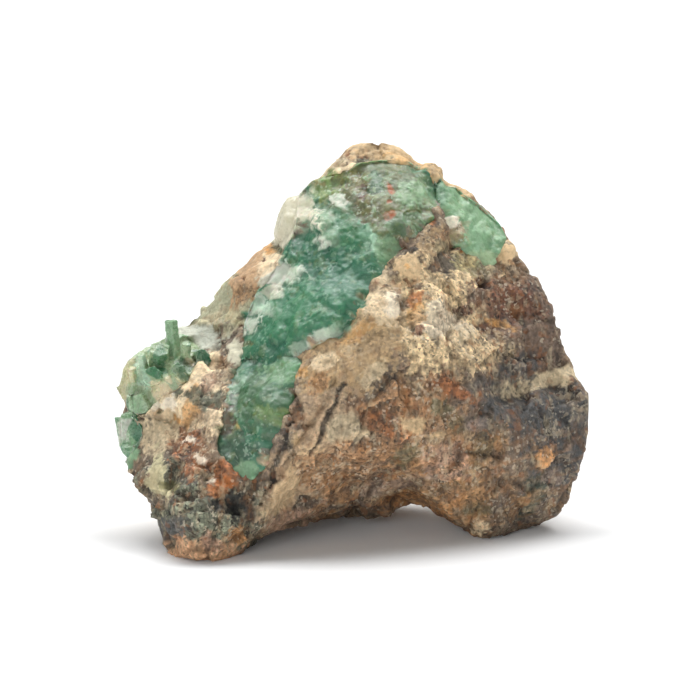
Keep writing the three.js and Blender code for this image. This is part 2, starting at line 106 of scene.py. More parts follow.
world = bpy.data.worlds.new("white studio")
world.use_nodes = True
world.node_tree.nodes.clear()
sky = add(world.node_tree, "ShaderNodeBackground", {"Color": SKY_COLOUR, "Strength": SKY_STRENGTH})
add(world.node_tree, "ShaderNodeOutputWorld", {"Surface": sky.outputs[0]})
bpy.context.scene.world = world

# Each light: name, strength, how wide it looks from the stone in degrees, where it comes from.
for name, strength, spread, direction in (
    ("soft light above left", 1.5, 36, (-0.45, 0.34, 1.0)),
    ("soft light above", 1.85, 40, (0.0, 0.36, 1.0)),
    ("soft light above right", 1.5, 36, (0.45, 0.34, 1.0)),
    ("weak light from the front", 1.3, 60, (-0.3, -1.0, 0.0)),
):
    lamp = bpy.data.lights.new(name, "SUN")
    lamp.energy = strength
    lamp.angle = math.radians(spread)
    light = bpy.data.objects.new(name, lamp)
    light.rotation_euler = Vector(direction).to_track_quat("Z", "Y").to_euler()
    bpy.context.scene.collection.objects.link(light)

card_mesh = bmesh.new()
bmesh.ops.create_grid(card_mesh, x_segments=1, y_segments=1, size=CARD_REACH)
card = bpy.data.objects.new("white_card", bpy.data.meshes.new("white_card"))
card_mesh.to_mesh(card.data)
card_mesh.free()
bpy.context.scene.collection.objects.link(card)
# Uncoated card scatters light evenly, so it goes to plain white and shows soft shadows only.
paper = bpy.data.materials.new("white card, matt")
paper.use_nodes = True
paper.node_tree.nodes.clear()
paper_face = add(
    paper.node_tree, "ShaderNodeBsdfDiffuse", {"Color": (*linear("fafafa"), 1), "Roughness": 0.5}
)
add(paper.node_tree, "ShaderNodeOutputMaterial", {"Surface": paper_face.outputs[0]})
card.data.materials.append(paper)


# The host rock
# Dark mica schist with tan feldspar and quartz, broken out with hammer and chisel. It broke
# along its cleavage into flat chips, and water has left rust along every crack.
# Each mineral: colour, how grainy it is (0 smooth, 1 gritty), and how deep it lies in mm.
MINERALS = {
    "grey_schist": ("725f50", 0.9, 0.0),
    "blue_schist": ("50504f", 0.7, 0.0),
    "brown_schist": ("a08a6c", 0.9, 0.0),
    "tan_earth": ("a17e58", 0.9, 0.0),
    "red_brown": ("a67f5a", 1.0, 0.05),
    "cream_grit": ("e4c99c", 1.1, 0.0),
    "cream": ("b99c73", 0.5, 0.0),
    "beige": ("b49a7b", 0.5, -0.05),
    "grey_green": ("6b6d5b", 1.4, 0.0),
    "peach": ("f8e0b8", 0.4, 0.0),
    "sage": ("b3b292", 0.4, 0.0),
    "tan": ("dfc194", 0.25, -0.05),
    "warm_tan": ("c4a079", 0.3, -0.05),
    "milky": ("cfd2c2", 0.15, 0.0),
    # Besides black mica, this colour also paints shade into a gap and the lobe's grooves.
    "mica": ("2b2a2a", 1.0, 0.2),
    "quartz": ("f6ecd6", 0.3, -0.12),
    "olive": ("6e6a3e", 0.7, 0.1),
    "ochre": ("d29c54", 0.6, 0.0),
    "brown_grey": ("83705c", 0.9, 0.0),
    "olive_grey": ("6a6549", 0.8, 0.08),
    "olive_yellow": ("a39a66", 0.6, 0.0),
    "orange_rust": ("bd6d2e", 0.7, 0.05),
    "brown": ("5c4233", 0.7, 0.15),
    "dark_rust": ("6f4430", 1.2, 0.12),
    "pink_grey": ("9d8a7c", 0.6, 0.0),
    "cream_grey": ("d2bf9c", 0.5, -0.05),
    "rust": ("9c5e34", 1.0, 0.05),
    "pink_tan": ("b3917a", 0.9, 0.0),
    "orange_tan": ("c38f5c", 1.0, 0.0),
    # Painted shade: the dark of the crack lines stands for the shade in their grooves.
    "crack": ("49433c", 0.7, 0.45),
    "dark_green_grey": ("56604f", 0.8, 0.15),
    # Painted shade: a dark colour for the recess in the left foot, which stands for the shade in it.
    "shaded_hollow": ("3f3526", 0.7, 0.6),
    "pale_grey_green": ("969b82", 1.3, -0.05),
    # Lighter than the rock itself: partly its brown-pink colour, partly painted light on the left foot's
    # underside, which the lamps hardly reach.
    "brown_pink_painted_lighter": ("d9ac84", 0.7, 0.0),
    "orange": ("dd993f", 0.5, 0.0),
    "yellow_cream": ("d3caa0", 0.3, -0.05),
    "milky_cream": ("d3ceb5", 0.15, -0.15),
    "emerald": ("3e7a5a", 0.35, 0.0),
    "grey_green_beryl": ("62693f", 0.5, 0.0),
    "yellow_green": ("8fa25e", 0.5, 0.0),
    "deep_emerald": ("2b664b", 0.4, 0.1),
    "pale_emerald": ("8fb38a", 0.35, 0.0),
    "light_emerald": ("3f745a", 0.3, -0.05),
    "mint": ("b4d3b9", 0.2, -0.05),
    "milky_green": ("d6dcca", 0.15, -0.1),
    "pale_yellow_green": ("b3c59a", 0.3, 0.0),
    "bright_emerald": ("3c7d57", 0.3, 0.0),
    "dark_teal": ("465f4b", 0.45, 0.1),
    "light_grey_emerald": ("4b6c4b", 0.3, 0.0),
    "stained_beryl": ("a4541c", 0.3, 0.05),
}

# Where the front shows which mineral, from the broad zones to the small spots: across and up
# the view in mm, half length, half width, turn in degrees, mineral, strength.
ROCK_PATCHES = [
    # the big zones
    (18.8, 22.3, 5.3, 8.3, 100, "grey_schist", 1),
    (19.3, 9.6, 6.7, 7.3, 90, "blue_schist", 1),
    (12.3, 33.2, 3.3, 4.7, 120, "brown_schist", 1),
    (11.6, 6.8, 8.3, 5.0, 10, "tan_earth", 1),
    (2.7, 10.1, 10.6, 3.8, 35, "red_brown", 1),
    (9.9, 24.6, 6.4, 5.8, 45, "cream_grit", 1),
    (-0.1, 20.1, 6.9, 4.0, 50, "cream", 1),
    (-5.1, 7.9, 8.7, 2.8, 62, "beige", 1),
    (-16.8, 2.9, 7.1, 4.9, -20, "grey_green", 1),
    (-19.2, 15.1, 3.5, 5.8, 70, "peach", 1),
    (-14.8, 25.1, 4.9, 3.1, 48, "sage", 1),
    (-10.6, 29.0, 4.2, 2.1, 62, "warm_tan", 1),
    (6.0, 41.2, 7.3, 3.3, -25, "tan", 1),
    (-25.1, 15.7, 1.0, 2.0, 90, "milky", 1),
    # cap
    (2.6, 42.6, 2.4, 1.3, 35, "cream", 0.7),
    (4.4, 41.6, 0.3, 0.2, 0, "mica", 0.8),
    (1.2, 41.0, 0.9, 0.7, 0, "grey_green", 0.9),
    (1.1, 40.6, 0.4, 0.3, 0, "quartz", 0.7),
    (1.0, 39.8, 0.8, 0.4, 0, "olive", 0.9),
    (6.8, 40.4, 3.1, 1.0, -28, "ochre", 0.45),
    (9.6, 40.3, 1.1, 0.8, -40, "cream", 0.8),
    (-2.6, 40.0, 3.2, 1.3, 38, "cream_grey", 1),
    (-0.7, 39.9, 1.6, 0.7, 20, "peach", 0.9),
    (8.4, 37.9, 0.9, 0.6, -60, "beige", 0.9),
    (10.0, 35.2, 2.3, 0.6, -60, "brown_grey", 0.9),
    # crest
    (10.0, 32.8, 0.6, 0.9, -60, "red_brown", 0.8),
    (9.9, 31.2, 1.0, 0.9, 0, "olive_grey", 0.6),
    (10.6, 29.4, 1.3, 1.0, -30, "mica", 0.85),
    (12.9, 29.8, 1.0, 1.4, 70, "olive_yellow", 0.7),
    (14.6, 28.9, 1.6, 1.0, 30, "olive_grey", 0.6),
    (12.2, 31.0, 0.3, 0.3, 0, "orange_rust", 0.8),
    (8.9, 34.3, 0.4, 0.3, 10, "orange_rust", 0.9),
    (9.2, 33.4, 0.9, 0.4, 50, "cream", 0.8),
    (8.1, 31.2, 0.7, 0.9, 60, "cream", 0.7),
    # These two dark spots, given as mica, are painted shade in the gap under the plate.
    (3.8, 29.2, 0.9, 0.4, 0, "mica", 0.95),
    (6.3, 31.0, 1.0, 0.4, 20, "mica", 0.9),
    (17.3, 31.2, 1.3, 1.0, -50, "tan", 1),
    (18.4, 29.9, 0.2, 0.7, 80, "red_brown", 0.8),
    # angular knob and the ridge
    (0.7, 22.2, 1.8, 0.9, 40, "ochre", 0.5),
    (-3.6, 16.4, 1.5, 0.8, 50, "orange_tan", 0.6),
    (2.4, 17.6, 1.4, 0.9, 40, "cream_grey", 0.7),
    (6.1, 29.2, 1.9, 1.3, 0, "tan", 1),
    (4.8, 28.1, 0.2, 0.2, 0, "brown", 0.9),
    (7.7, 27.4, 0.7, 0.4, 60, "brown", 0.9),
    (7.2, 25.8, 1.0, 0.6, 60, "orange_rust", 0.8),
    (6.2, 29.2, 0.4, 0.3, 0, "ochre", 0.7),
    (3.4, 27.6, 0.9, 1.1, 70, "cream_grey", 0.6),
    (3.7, 24.4, 1.6, 2.6, 60, "peach", 0.8),
    (4.6, 25.0, 1.5, 1.0, 70, "quartz", 0.6),
    (9.4, 23.3, 1.6, 2.6, 90, "quartz", 0.5),
    (12.0, 21.6, 1.6, 1.0, 30, "quartz", 0.4),
    (7.2, 23.9, 0.9, 1.3, 0, "ochre", 0.6),
    (5.6, 25.7, 0.7, 0.9, 0, "brown_grey", 0.6),
    (7.7, 22.4, 0.4, 0.6, 0, "dark_rust", 0.9),
    # rust on the dark face
    (16.9, 25.6, 4.0, 1.9, -18, "dark_rust", 0.85),
    (12.8, 24.6, 0.6, 1.0, 90, "dark_rust", 0.9),
    (15.4, 22.6, 1.4, 0.8, 0, "dark_rust", 0.9),
    (13.4, 26.4, 1.2, 0.9, 0, "grey_schist", 0.8),
    (16.8, 23.0, 1.7, 0.4, -20, "ochre", 0.6),
    (13.2, 19.9, 4.4, 2.0, 0, "cream_grit", 0.7),
    (11.0, 24.3, 1.6, 1.3, 0, "brown_grey", 0.4),
    # tan band and what is round it
    (20.7, 16.7, 4.7, 0.9, 12, "cream_grey", 1),
    (18.7, 17.8, 1.6, 1.7, 0, "blue_schist", 0.8),
    (14.8, 16.3, 1.6, 0.9, 0, "blue_schist", 0.6),
    (11.2, 15.9, 2.7, 0.9, -25, "rust", 0.8),
    (9.9, 13.8, 1.4, 0.9, -10, "olive_grey", 0.9),
    (11.7, 11.8, 1.0, 0.9, 0, "olive_grey", 0.7),
    (14.1, 12.1, 1.0, 0.6, 0, "pink_grey", 0.9),
    # red-brown band with its lenses
    (0.1, 11.4, 1.4, 2.8, 90, "cream_grey", 0.95),
    (6.7, 12.1, 1.0, 1.6, 90, "tan", 0.9),
    (4.0, 11.8, 1.0, 2.9, 60, "rust", 0.7),
    (6.2, 8.6, 1.4, 0.8, 30, "olive_grey", 0.9),
    (10.7, 7.8, 2.7, 1.9, 0, "pink_tan", 0.8),
    (9.6, 10.4, 1.0, 0.7, 0, "tan", 0.7),
    # right lobe
    (18.4, 9.4, 3.4, 1.5, 75, "blue_schist", 0.7),
    (14.6, 9.6, 2.6, 0.8, 72, "olive_grey", 0.6),
    (20.0, 4.0, 2.4, 1.1, 65, "dark_green_grey", 0.7),
    (16.6, 4.4, 2.2, 0.8, 68, "blue_schist", 0.7),
    (18.6, 3.0, 1.8, 0.6, 62, "tan_earth", 0.7),
    (15.6, 12.6, 2.0, 1.2, 70, "blue_schist", 0.6),
    (21.6, 8.0, 1.0, 1.4, -50, "orange_tan", 0.9),
    (22.4, 5.8, 0.7, 1.3, -80, "pink_grey", 0.7),
    (17.1, 7.0, 2.0, 2.7, 90, "brown_grey", 0.75),
    # These two thin dark lines, given as mica, are painted shade in the lobe's grooves.
    (21.9, 11.0, 3.6, 0.3, -68, "mica", 0.75),
    (23.7, 11.9, 1.7, 0.3, -48, "mica", 0.5),
    # right foot and the arch
    (14.4, 0.3, 0.9, 0.8, 0, "peach", 0.95),
    (14.1, 2.6, 1.7, 0.7, 10, "olive_grey", 0.8),
    # Partly the rock's orange-tan and partly painted light, lightening the arch's underside, which the lamps
    # hardly reach.
    (5.2, 3.4, 3.1, 0.7, 10, "orange_tan", 0.7),
    (8.0, 1.6, 4.4, 1.4, 25, "orange_tan", 0.85),
    (0.7, 2.8, 1.4, 0.7, 0, "mica", 0.6),
    (3.2, 4.8, 5.6, 0.7, 12, "pink_grey", 0.6),
    # long plates and cracks
    (-6.1, 6.1, 4.7, 1.3, 58, "tan", 0.6),
    (-7.3, 11.8, 2.1, 1.7, 45, "brown_grey", 0.8),
    (-9.7, 7.9, 0.8, 1.7, 80, "beige", 0.9),
    (-5.9, 10.2, 0.6, 0.4, 0, "cream", 0.9),
    (-7.2, 10.6, 0.7, 1.0, 45, "mica", 0.65),
    (-2.3, 5.7, 1.6, 4.2, 50, "red_brown", 0.9),
    (-4.9, 3.3, 1.3, 0.7, 20, "mica", 0.7),
    (-6.8, 1.6, 2.8, 0.9, 15, "pink_tan", 0.8),
    (-5.3, 17.7, 1.0, 0.7, 0, "ochre", 0.8),
    (-2.9, 19.2, 1.4, 0.9, 40, "peach", 0.8),
    # The two crack lines are painted dark, as painted shade in their grooves.
    (-8.0, 7.8, 4.1, 0.3, 69, "crack", 0.95),
    (-2.4, 12.6, 3.9, 0.3, 65, "crack", 0.85),
    # left block and shoulder
    (-19.4, 12.8, 2.8, 1.9, 70, "peach", 1),
    (-17.7, 13.6, 2.8, 0.7, 78, "orange", 0.6),
    (-16.0, 18.4, 1.9, 1.3, 45, "peach", 0.9),
    (-20.8, 14.4, 1.4, 0.9, 0, "quartz", 0.85),
    (-19.2, 12.3, 0.7, 0.8, 60, "orange", 0.85),
    (-21.2, 13.3, 0.3, 0.3, 0, "olive", 0.8),
    (-20.7, 10.8, 2.8, 1.6, 0, "cream_grey", 0.95),
    (-21.0, 6.2, 1.0, 2.8, 8, "yellow_cream", 0.95),
    (-17.8, 9.2, 1.7, 2.1, 0, "rust", 0.85),
    (-17.6, 10.1, 0.6, 0.4, 0, "quartz", 0.8),
    (-16.3, 8.4, 0.6, 0.4, 0, "quartz", 0.7),
    (-14.2, 6.6, 2.1, 1.6, -20, "rust", 0.85),
    (-14.3, 5.1, 1.1, 0.9, 0, "orange_rust", 0.6),
    (-14.9, 6.0, 0.3, 0.3, 0, "quartz", 0.8),
    (-16.1, 14.9, 0.9, 2.8, 80, "dark_green_grey", 0.9),
    (-15.4, 16.4, 1.0, 0.8, 30, "pink_tan", 0.7),
    (-16.0, 13.0, 0.7, 1.3, 90, "brown_grey", 0.6),
    # left foot
    (-19.8, 5.7, 1.0, 0.6, -10, "olive", 0.8),
    # Painted shade: dark colour laid into the recess of the left foot.
    (-17.6, 4.3, 1.2, 0.9, -30, "shaded_hollow", 0.9),
    (-16.2, 5.7, 1.3, 1.0, 60, "pale_grey_green", 0.6),
    (-18.1, 2.1, 1.6, 1.0, 0, "pale_grey_green", 0.5),
    (-12.2, 3.0, 1.3, 2.3, 60, "mica", 0.85),
    (-11.4, 6.0, 0.9, 1.4, 0, "mica", 0.7),
    (-14.4, 3.4, 0.9, 1.0, 0, "mica", 0.6),
    (-19.7, 0.6, 1.4, 1.7, 60, "blue_schist", 0.9),
    (-22.3, 3.4, 0.7, 3.0, 100, "grey_schist", 0.7),
    (-15.2, 1.2, 1.6, 1.0, 0, "pale_grey_green", 0.6),
    (-12.3, 0.1, 1.0, 0.8, 0, "orange_tan", 0.9),
    # Partly the foot's brown-pink, partly painted light on its underside.
    (-16.0, -2.0, 4.2, 1.5, 5, "brown_pink_painted_lighter", 1),
    (-15.0, -0.8, 1.0, 0.7, -30, "pink_tan", 0.8),
    # left slope and its knob
    (-15.4, 23.4, 1.6, 1.1, 40, "cream_grey", 0.4),
    (-13.4, 22.1, 2.7, 1.1, 40, "brown_grey", 0.3),
    (-6.4, 34.6, 4.2, 1.7, 66, "milky_cream", 1),
    (-9.3, 27.3, 2.6, 1.1, 68, "milky", 0.8),
    (-10.8, 25.6, 2.2, 0.9, 60, "sage", 0.8),
    (-12.9, 23.9, 0.8, 0.7, 0, "yellow_cream", 0.7),
    (-17.0, 21.4, 2.4, 1.6, -10, "milky", 0.95),
    (-24.6, 17.4, 1.4, 2.9, 20, "yellow_cream", 0.9),
    (-11.2, 26.3, 1.0, 1.9, 75, "tan_earth", 0.75),
    (-9.4, 29.9, 1.6, 1.1, 50, "peach", 0.8),
    (-9.2, 31.4, 0.6, 0.7, 60, "orange", 0.6),
    (-9.9, 30.4, 0.2, 0.2, 0, "dark_rust", 0.9),
    (-12.1, 28.1, 0.4, 0.2, -70, "dark_rust", 0.9),
    (-8.0, 31.4, 0.8, 0.4, -20, "olive", 0.9),
    (-12.7, 19.8, 1.1, 1.2, 0, "milky_cream", 1),
    (-12.3, 23.1, 0.3, 0.2, 0, "dark_rust", 0.9),
]
BERYL_PATCHES = [
    # mottled plate
    (2.6, 41.3, 5.2, 0.9, -3, "tan", 1),
    (-4.6, 39.2, 1.6, 0.5, 50, "cream_grey", 0.9),
    (3.8, 36.2, 6.9, 4.7, -20, "grey_green_beryl", 1),
    (-1.8, 38.7, 2.4, 1.6, 30, "yellow_green", 0.8),
    (0.6, 37.9, 1.3, 2.1, 60, "olive", 0.85),
    (0.9, 36.0, 1.4, 2.8, 50, "olive_grey", 0.7),
    (1.1, 37.7, 0.7, 1.0, 0, "brown", 0.9),
    (0.2, 39.3, 0.7, 0.9, 0, "olive", 0.9),
    (4.4, 38.1, 0.5, 0.5, 0, "stained_beryl", 1),
    (4.0, 36.4, 0.3, 0.3, 0, "stained_beryl", 0.9),
    (4.2, 34.9, 0.7, 0.5, 20, "stained_beryl", 1),
    (2.6, 38.7, 0.9, 1.1, -60, "deep_emerald", 0.6),
    (2.3, 35.3, 1.7, 1.0, 0, "olive_grey", 0.55),
    (6.8, 37.3, 1.6, 1.3, 0, "pale_emerald", 0.6),
    (6.0, 33.9, 2.0, 1.4, 0, "light_emerald", 0.4),
    (2.1, 32.4, 1.9, 0.7, -57, "mint", 0.95),
    (4.0, 31.1, 1.6, 0.9, 10, "pale_emerald", 0.8),
    (5.8, 32.3, 0.7, 0.6, 0, "cream", 0.9),
    (5.4, 31.6, 0.4, 0.2, 0, "ochre", 0.7),
    # upper left corner
    (-5.3, 38.1, 1.0, 0.7, 0, "light_emerald", 0.7),
    (-3.9, 38.2, 0.9, 0.4, 0, "cream", 0.7),
    (-1.2, 36.4, 1.3, 0.6, -50, "milky_green", 0.9),
    (-5.0, 35.6, 1.3, 1.1, 0, "pale_yellow_green", 0.8),
    (-5.3, 35.0, 1.0, 2.7, -14, "milky_cream", 0.95),
    (-3.3, 34.2, 1.5, 1.2, -20, "quartz", 0.95),
    (-2.6, 32.4, 1.3, 0.8, 30, "milky_green", 1),
    (-0.9, 33.2, 1.7, 3.1, 70, "bright_emerald", 0.8),
    (-5.7, 32.6, 1.1, 1.6, 0, "deep_emerald", 0.7),
    (-6.0, 32.6, 0.6, 0.4, 0, "olive", 0.7),
    # main mass
    (-3.1, 29.9, 3.0, 1.6, 15, "deep_emerald", 0.95),
    (-8.0, 28.6, 1.4, 2.4, 76, "milky_green", 0.85),
    (-9.4, 24.9, 1.0, 1.8, 60, "milky_green", 0.7),
    (-8.6, 28.0, 0.4, 0.4, 0, "yellow_green", 0.7),
    (-8.2, 26.6, 0.9, 0.7, 0, "quartz", 0.5),
    (-9.0, 25.1, 1.2, 0.8, 0, "mint", 0.5),
    (-1.4, 27.6, 3.1, 1.7, 35, "light_emerald", 0.9),
    (-5.7, 23.9, 4.0, 2.4, 25, "bright_emerald", 0.8),
    (-9.2, 19.4, 2.2, 1.4, 45, "deep_emerald", 0.95),
    (1.9, 25.9, 0.6, 1.8, 80, "deep_emerald", 0.6),
    (-0.7, 22.2, 1.6, 1.0, 0, "mint", 0.5),
    (-3.8, 21.0, 2.2, 0.7, 38, "milky_green", 0.7),
    (-5.7, 20.4, 0.9, 0.7, 0, "milky_green", 0.4),
    (-11.3, 22.9, 1.3, 0.7, 40, "milky_green", 0.8),
    (-11.9, 21.2, 1.0, 0.3, -10, "olive", 0.8),
    # lower lobe
    (-10.3, 14.6, 3.1, 4.0, 80, "light_grey_emerald", 0.9),
    (-12.6, 15.9, 1.8, 0.4, 60, "mint", 0.5),
    (-7.0, 17.9, 2.3, 1.0, 20, "pale_emerald", 0.6),
    (-8.3, 13.0, 0.9, 2.0, 80, "yellow_green", 0.5),
    (-12.7, 11.9, 0.7, 0.3, -40, "ochre", 0.8),
    (-13.2, 13.8, 2.8, 0.9, 85, "dark_green_grey", 0.85),
    (-13.0, 12.6, 1.8, 0.5, 80, "brown", 0.6),
    (-12.1, 9.4, 1.8, 1.8, 60, "dark_teal", 0.9),
    (-14.8, 11.1, 0.9, 1.0, 0, "olive", 0.7),
    (-11.2, 7.6, 1.0, 0.7, 0, "pale_emerald", 0.7),
    (-13.4, 17.3, 1.0, 0.9, 0, "dark_teal", 0.5),
    # crest
    (12.9, 34.5, 5.0, 3.6, -50, "pale_emerald", 0.8),
    (10.9, 32.0, 1.3, 2.6, -30, "brown_schist", 0.9),
    (9.6, 37.6, 1.4, 1.1, -50, "deep_emerald", 0.5),
    (13.2, 35.1, 2.4, 0.9, -50, "pale_emerald", 0.5),
    (11.4, 34.2, 0.7, 0.6, 0, "quartz", 0.9),
    (14.1, 30.4, 1.9, 1.0, 0, "pale_yellow_green", 0.6),
    # crust of the shoulder and the edge
    (-20.6, 18.4, 4.6, 4.4, 30, "pale_yellow_green", 0.85),
    (-24.6, 17.2, 1.2, 3.0, -20, "yellow_cream", 0.85),
    (-23.0, 17.6, 0.5, 2.4, 15, "mint", 0.8),
    (-17.2, 18.9, 1.0, 0.7, 0, "cream", 0.7),
    (-21.4, 19.6, 0.9, 1.1, 0, "bright_emerald", 0.8),
    (-19.6, 21.6, 0.9, 2.4, 0, "pale_emerald", 1),
    (-21.6, 14.6, 3.2, 1.6, 25, "peach", 0.85),
    (-18.8, 16.1, 1.6, 0.6, 20, "cream", 0.6),
    (-21.4, 17.6, 1.0, 0.6, 0, "bright_emerald", 0.9),
    (-18.9, 18.2, 0.8, 0.8, 0, "deep_emerald", 0.7),
    (-16.7, 19.6, 0.8, 0.8, 0, "deep_emerald", 0.8),
    (-23.3, 20.1, 1.0, 0.7, 40, "pale_yellow_green", 0.7),
    (-23.2, 14.2, 1.4, 1.6, 0, "pale_emerald", 0.8),
    (-24.0, 11.4, 2.2, 3.0, 0, "pale_emerald", 0.9),
    (-23.4, 11.6, 0.7, 1.7, 0, "emerald", 0.8),
    (-25.1, 11.4, 0.6, 1.3, 0, "milky", 0.9),
]

noise.seed_set(3)  # any fixed number, so that the minerals' borders waver the same each time


def fine_mesh(name, node, voxel):
    """A node's solid as one closed mesh with small even faces, in millimetres."""
    made = bmesh.new()
    made.from_mesh(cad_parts[node].data)
    bmesh.ops.remove_doubles(made, verts=made.verts, dist=1e-6)
    bmesh.ops.scale(made, vec=(1000, 1000, 1000), verts=made.verts)
    mesh = bpy.data.meshes.new(name)
    made.to_mesh(mesh)
    made.free()
    piece = bpy.data.objects.new(name, mesh)
    bpy.context.scene.collection.objects.link(piece)
    remesh = piece.modifiers.new("even faces", "REMESH")
    remesh.mode = "VOXEL"
    remesh.voxel_size = voxel
    remesh.use_smooth_shade = True
    depsgraph = bpy.context.evaluated_depsgraph_get()
    piece.data = bpy.data.meshes.new_from_object(piece.evaluated_get(depsgraph))
    piece.modifiers.clear()
    return piece


def read(mesh, items, what, width):
    """One array of numbers out of a mesh."""
    values = np.empty(len(getattr(mesh, items)) * width)
    getattr(mesh, items).foreach_get(what, values)
    return values.reshape(-1, width)


def smoothed(mesh, co, rounds):
    """The places of the vertices after each has gone 0.6 of the way to the middle of its
    neighbours, round after round."""
    a, b = read(mesh, "edges", "vertices", 2).astype(int).T
    count = np.bincount(np.concatenate([a, b]), minlength=len(co))[:, None]
    for _ in range(rounds):
        total = np.stack(
            [np.bincount(a, co[b, k], len(co)) + np.bincount(b, co[a, k], len(co)) for k in range(3)], axis=1
        )
        co = co + 0.6 * (total / count - co)
    return co


def place_vertices(mesh, co):
    """Puts the mesh's vertices where co says."""
    mesh.vertices.foreach_set("co", co.ravel())
    mesh.update()


def place_in_view(co):
    """Across, up and along the line of sight, in mm."""
    x, y, z = co[:, 0] - MIDDLE[0], co[:, 1] - MIDDLE[1], co[:, 2]
    return x, y * math.sin(SIGHT) + z * math.cos(SIGHT), y * math.cos(SIGHT) - z * math.sin(SIGHT)


def chips(p, size):
    """The height of broken stone: every cell of the size is one flat chip with its own tilt."""
    q = p / size
    near = noise.voronoi(q)[1][0]
    return (q - near).dot(noise.cell_vector(near) - Vector((0.5, 0.5, 0.5))) * 2


def row(mineral):
    """Red, green, blue, grain and depth of one mineral."""
    code, grain, depth = MINERALS[mineral]
    return np.array([*linear(code), grain, depth])


def paint(tone, u, v, patches, waver, grit, fade):
    """Lays patches of mineral over tone, whose columns are red, green, blue, grain and depth.
    Borders fade over a part of the patch, and grains (grit, 0 to 1) of both stand in them.
    Small spots waver less, so they keep their place, and have sharper borders."""
    for at_u, at_v, length, width, turn, mineral, strength in patches:
        small = min(length, width)
        wavy = min(1.0, 0.25 + 0.25 * small)
        soft = fade * min(1.0, 0.25 + 0.3 * small)
        du = u + wavy * waver[:, 0] - at_u
        dv = v + wavy * waver[:, 1] - at_v
        c, s = math.cos(math.radians(turn)), math.sin(math.radians(turn))
        far = np.hypot((du * c + dv * s) / length, (dv * c - du * s) / width)
        share = np.clip((1.1 + 0.5 * soft + 0.5 * (grit - 0.5) - far) / soft, 0, 1)[:, None] * strength
        tone += share * (row(mineral) - tone)


def blend_to(tone, other, share):
    """Tone where share is 0, the other where it is 1."""
    return tone + np.clip(share, 0, 1)[:, None] * (other - tone)


def solid_tree(nodes):
    """What finds the nearest point of some CAD nodes, in mm."""
    corners, faces = [], []
    for node in nodes:
        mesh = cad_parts[node].data
        faces += [tuple(len(corners) + i for i in face.vertices) for face in mesh.polygons]
        corners += [vertex.co * 1000 for vertex in mesh.vertices]
    return BVHTree.FromPolygons(corners, faces)


rock_tree = solid_tree(["host_rock"])
beryl_tree = solid_tree(["emerald_vein", "emerald_crest", "emerald_crystals", "emerald_edge_crystals"])

# How the borders between minerals waver: by how many mm, and over how many mm.
BROAD_WAVER, FINE_WAVER = (1.6, 3.1), (0.9, 0.95)
BORDER_GRAIN = 0.5  # mm, single grains of both minerals along a border
# The bands of the schist away from the front, from the lowest value of the noise to the highest.
BANDS = {
    "blue_schist": -0.45,
    "grey_schist": -0.15,
    "brown_grey": 0.05,
    "tan_earth": 0.3,
    "cream_grey": 0.6,
}


def minerals_at(co, beryl_side):
    """The mineral mix at every point: red, green, blue, grain and depth. beryl_side is how far
    each point lies inside the green beryl, in mm, and below 0 in the rock."""
    u, v, w = place_in_view(co)
    points = [Vector(p) for p in co]
    broad = np.array([noise.noise_vector(p / BROAD_WAVER[1]) for p in points])
    fine = np.array([noise.noise_vector(p / FINE_WAVER[1]) for p in points])
    waver = BROAD_WAVER[0] * broad + FINE_WAVER[0] * fine
    grit = np.array([noise.cell_vector((p + 0.6 * Vector(f)) / BORDER_GRAIN)[0] for p, f in zip(points, fine)])

    # Away from the front the rock is banded schist, dark to tan, and the bands rise to the left.
    bands = np.array(
        [noise.fractal(Vector((p.x / 11, p.y / 6, (p.z + 0.4 * p.x) / 5)), 0.9, 2.1, 5) for p in points]
    )
    kinds = [row(kind) for kind in BANDS]
    tone = np.stack(
        [np.interp(bands, list(BANDS.values()), [kind[k] for kind in kinds]) for k in range(5)], axis=1
    )
    front = blend_to(tone, row("brown_grey"), np.full(len(co), 0.7))
    paint(front, u, v, ROCK_PATCHES, waver, grit, fade=0.3)
    # The cleavage shows low down as thin layers, which rise a little to the right.
    layers = np.array(
        [noise.fractal(Vector((p.x / 5, p.y / 5, (p.z - 0.25 * p.x) / 0.8)), 0.9, 2.0, 3) for p in points]
    )
    low = np.clip((12.0 - v + 4 * broad[:, 0]) / 4, 0, 1) * np.clip((u + 6) / 4, 0, 1)
    front = blend_to(front, row("orange_tan"), low * np.clip(1.6 * layers - 0.15, 0, 0.3))
    front = blend_to(front, row("grey_schist"), low * np.clip(-1.8 * layers - 0.15, 0, 0.5))
    # The front's minerals go on to about 8.5 mm behind the middle, with a wavy end.
    to_front = (8.5 - w + 3.0 * broad[:, 2]) / 2.5
    rock = blend_to(tone, front, to_front)

    # The beryl is cloudy, deep in some places and light in others.
    beryl = np.tile(row("emerald"), (len(co), 1))
    clouds = np.array([noise.fractal(p / 3.0, 0.9, 2.1, 4) for p in points])
    beryl = blend_to(beryl, row("deep_emerald"), 0.8 * clouds)
    beryl = blend_to(beryl, row("light_emerald"), -0.8 * clouds)
    paint(beryl, u, v, BERYL_PATCHES, waver, grit, fade=0.6)
    # Near the border either mineral has crept over the other, with loose grains of both.
    border = beryl_side + 2.0 * broad[:, 1] + 1.2 * fine[:, 2] + 0.5 * (grit - 0.5)
    return blend_to(rock, beryl, 0.5 + border / 0.4)


